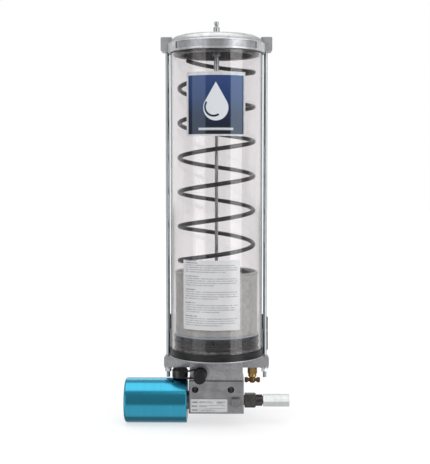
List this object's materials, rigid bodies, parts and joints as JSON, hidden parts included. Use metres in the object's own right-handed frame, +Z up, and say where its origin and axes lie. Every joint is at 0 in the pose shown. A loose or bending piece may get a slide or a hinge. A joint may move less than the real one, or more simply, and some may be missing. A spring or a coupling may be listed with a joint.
{
  "type": "automatic lubricator",
  "caption": "Air operated automatic lubricator: clear reservoir with a spring driven follower over an air driven piston pump with check valve outlet.",
  "frame": {"origin": "centre of the two mounting holes on the rear mounting plane", "axes": "+Z up along the reservoir, +Y out of the back towards the wall, +X to the outlet side"},
  "size_m": [0.2074, 0.1331, 0.5022],
  "materials": {
    "cast_aluminium": "cast, satin",
    "machined_aluminium": "machined, satin",
    "clear_acrylic": "clear, gloss",
    "black_rubber": "matt",
    "black_plastic": "gloss",
    "light_plastic": "satin",
    "spring_steel": "dark, satin",
    "zinc_steel": "bright zinc",
    "bright_nickel": "bright nickel",
    "dark_steel": "black oxide",
    "blue_anodised": "blue anodised",
    "brass": "tarnished",
    "blue_print": "printed film",
    "white_print": "printed film",
    "silver_print": "printed foil",
    "black_paint": "black, semi-gloss"
  },
  "bodies": {
    "housing": {"reservoir_cover": "cast_aluminium", "cover_gasket": "black_rubber", "vent_fitting": "zinc_steel", "reservoir_tube": "clear_acrylic", "base_gasket": "black_rubber", "tie_rods": "zinc_steel", "tie_rod_washers": "zinc_steel", "tie_rod_nuts": "zinc_steel", "guide_rod": "zinc_steel", "rod_sleeve": "zinc_steel", "follower_spring": "spring_steel", "base_casting": "cast_aluminium", "neck_gasket": "black_rubber", "wall_bracket": "black_paint", "bracket_screws": "dark_steel", "block_screws": "dark_steel", "pump_block": "machined_aluminium", "pipe_plug": "zinc_steel", "name_plate": "silver_print", "air_cylinder": "blue_anodised", "cylinder_head": "machined_aluminium", "head_oring": "black_rubber", "boss_oring": "black_rubber", "plunger_seal": "black_rubber", "return_spring": "spring_steel", "outlet_adapter": "dark_steel", "check_valve_body": "bright_nickel", "check_retainer": "zinc_steel", "check_spring": "spring_steel", "drain_cock_body": "brass", "port_plug": "black_plastic", "fill_nipple": "zinc_steel", "fill_spring_retainer": "brass", "fill_spring": "spring_steel", "cap_tether": "black_rubber", "front_decal": "blue_print", "ruled_label": "white_print"},
    "follower": {"follower_cup": "light_plastic", "rod_wiper": "black_rubber", "follower_seal": "black_rubber", "follower_retainer": "zinc_steel", "retainer_screws": "dark_steel"},
    "air_piston": {"air_piston": "machined_aluminium", "piston_seal": "black_rubber", "pump_plunger": "zinc_steel"},
    "drain_screw": {"drain_screw": "brass"},
    "outlet_ball": {"check_ball": "zinc_steel"},
    "fill_ball": {"fill_ball": "zinc_steel"},
    "dust_cap": {"dust_cap": "black_rubber"}
  },
  "joints": [
    {"name": "follower_travel", "type": "slide", "parent": "housing", "child": "follower", "axis": [0, 0, 1], "range_m": [0, 0.25], "stiffness_N_per_m": 200, "springref_m": -0.12, "deforming": ["follower_spring"]},
    {"name": "piston_stroke", "type": "slide", "parent": "housing", "child": "air_piston", "axis": [1, 0, 0], "range_m": [0, 0.02], "stiffness_N_per_m": 1200, "springref_m": -0.015, "deforming": ["return_spring"]},
    {"name": "drain_turn", "type": "hinge", "parent": "housing", "child": "drain_screw", "pos_m": [0.0493, -0.07315, 0.008], "axis": [0, 0, -1], "range_deg": [0, 540]},
    {"name": "outlet_ball_lift", "type": "slide", "parent": "housing", "child": "outlet_ball", "axis": [1, 0, 0], "range_m": [0, 0.002], "stiffness_N_per_m": 150, "springref_m": -0.002, "deforming": ["check_spring"]},
    {"name": "fill_ball_lift", "type": "slide", "parent": "housing", "child": "fill_ball", "axis": [0, 1, 0], "range_m": [0, 0.002], "stiffness_N_per_m": 100, "springref_m": -0.002, "deforming": ["fill_spring"]},
    {"name": "dust_cap_pull", "type": "slide", "parent": "housing", "child": "dust_cap", "axis": [0, -1, 0], "range_m": [0, 0.03], "deforming": ["cap_tether"]}
  ]
}
